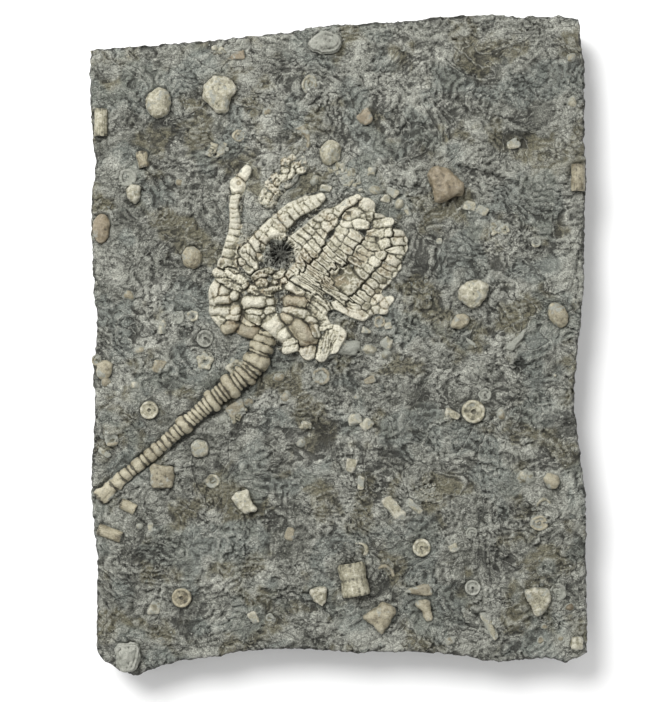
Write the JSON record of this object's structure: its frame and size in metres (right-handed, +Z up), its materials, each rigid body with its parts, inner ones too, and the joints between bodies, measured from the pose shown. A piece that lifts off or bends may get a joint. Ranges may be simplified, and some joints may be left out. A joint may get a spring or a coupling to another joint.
{
  "type": "crinoid fossil on a limestone slab",
  "caption": "Flat slab of grey limestone with a fossil sea lily, its crown of arms and stem in relief, among loose ossicles, lying on its back.",
  "frame": {"origin": "middle of the bounding box on the slab's flat back, which rests on the ground", "axes": "+Z up out of the fossil face; +Y along the slab's length towards the crown's arm tips; +X towards the slab's right edge seen from above"},
  "size_m": [0.1293, 0.1718, 0.0193],
  "materials": {
    "limestone": "rough bedding surface, matt",
    "cream": "calcite fossil, matt with a faint sheen",
    "tan": "stained calcite fossil, matt with a faint sheen",
    "brown": "iron-stained calcite fossil, matt with a faint sheen",
    "grey": "weathered calcite fossil, matt"
  },
  "bodies": {
    "root": {"arm_base_right": "cream", "arm_fourth": "tan", "arm_left_free": "tan", "arm_outer": "tan", "arm_second": "cream", "arm_third": "cream", "arm_tip_broken": "cream", "arm_upper": "cream", "cup_plate_cap": "cream", "cup_plate_crescent": "cream", "cup_plate_front": "brown", "cup_plate_left_base": "brown", "cup_plate_left_lower": "cream", "cup_plate_left_upper": "cream", "cup_plate_long": "cream", "cup_plate_middle_lower": "cream", "cup_plate_middle_upper": "cream", "cup_plate_oval": "tan", "cup_plate_shoulder": "cream", "cup_ridge_left": "cream", "cup_ridge_middle": "tan", "ossicle_almond_left_edge": "brown", "ossicle_blocky": "tan", "ossicle_brown_block": "brown", "ossicle_cone_left": "tan", "ossicle_corner": "cream", "ossicle_flat_round": "grey", "ossicle_hook": "tan", "ossicle_knob_above_crown": "cream", "ossicle_knob_left_edge": "tan", "ossicle_knob_upper_left": "cream", "ossicle_ledge_chip": "tan", "ossicle_lump_right": "brown", "ossicle_notched": "cream", "ossicle_rhomb": "tan", "ossicle_round_right": "cream", "ossicle_speckled": "cream", "ossicle_square": "brown", "ossicle_star": "cream", "ossicle_triangle": "cream", "ossicle_wedge_left": "tan", "pinnule_fan": "cream", "shell_ribbed_corner": "grey", "shell_upper_edge": "grey", "slab": "limestone", "stem": "cream", "stem_disc_cupped": "brown", "stem_disc_grey": "grey", "stem_disc_large": "cream", "stem_disc_left": "cream", "stem_disc_lower_middle": "cream", "stem_disc_lower_right": "cream", "stem_piece_large": "tan", "stem_piece_left_edge": "cream", "stem_piece_lower_left": "tan", "stem_piece_right_edge": "brown", "stem_piece_small_left": "tan", "stem_piece_spindle": "brown"}
  },
  "joints": []
}
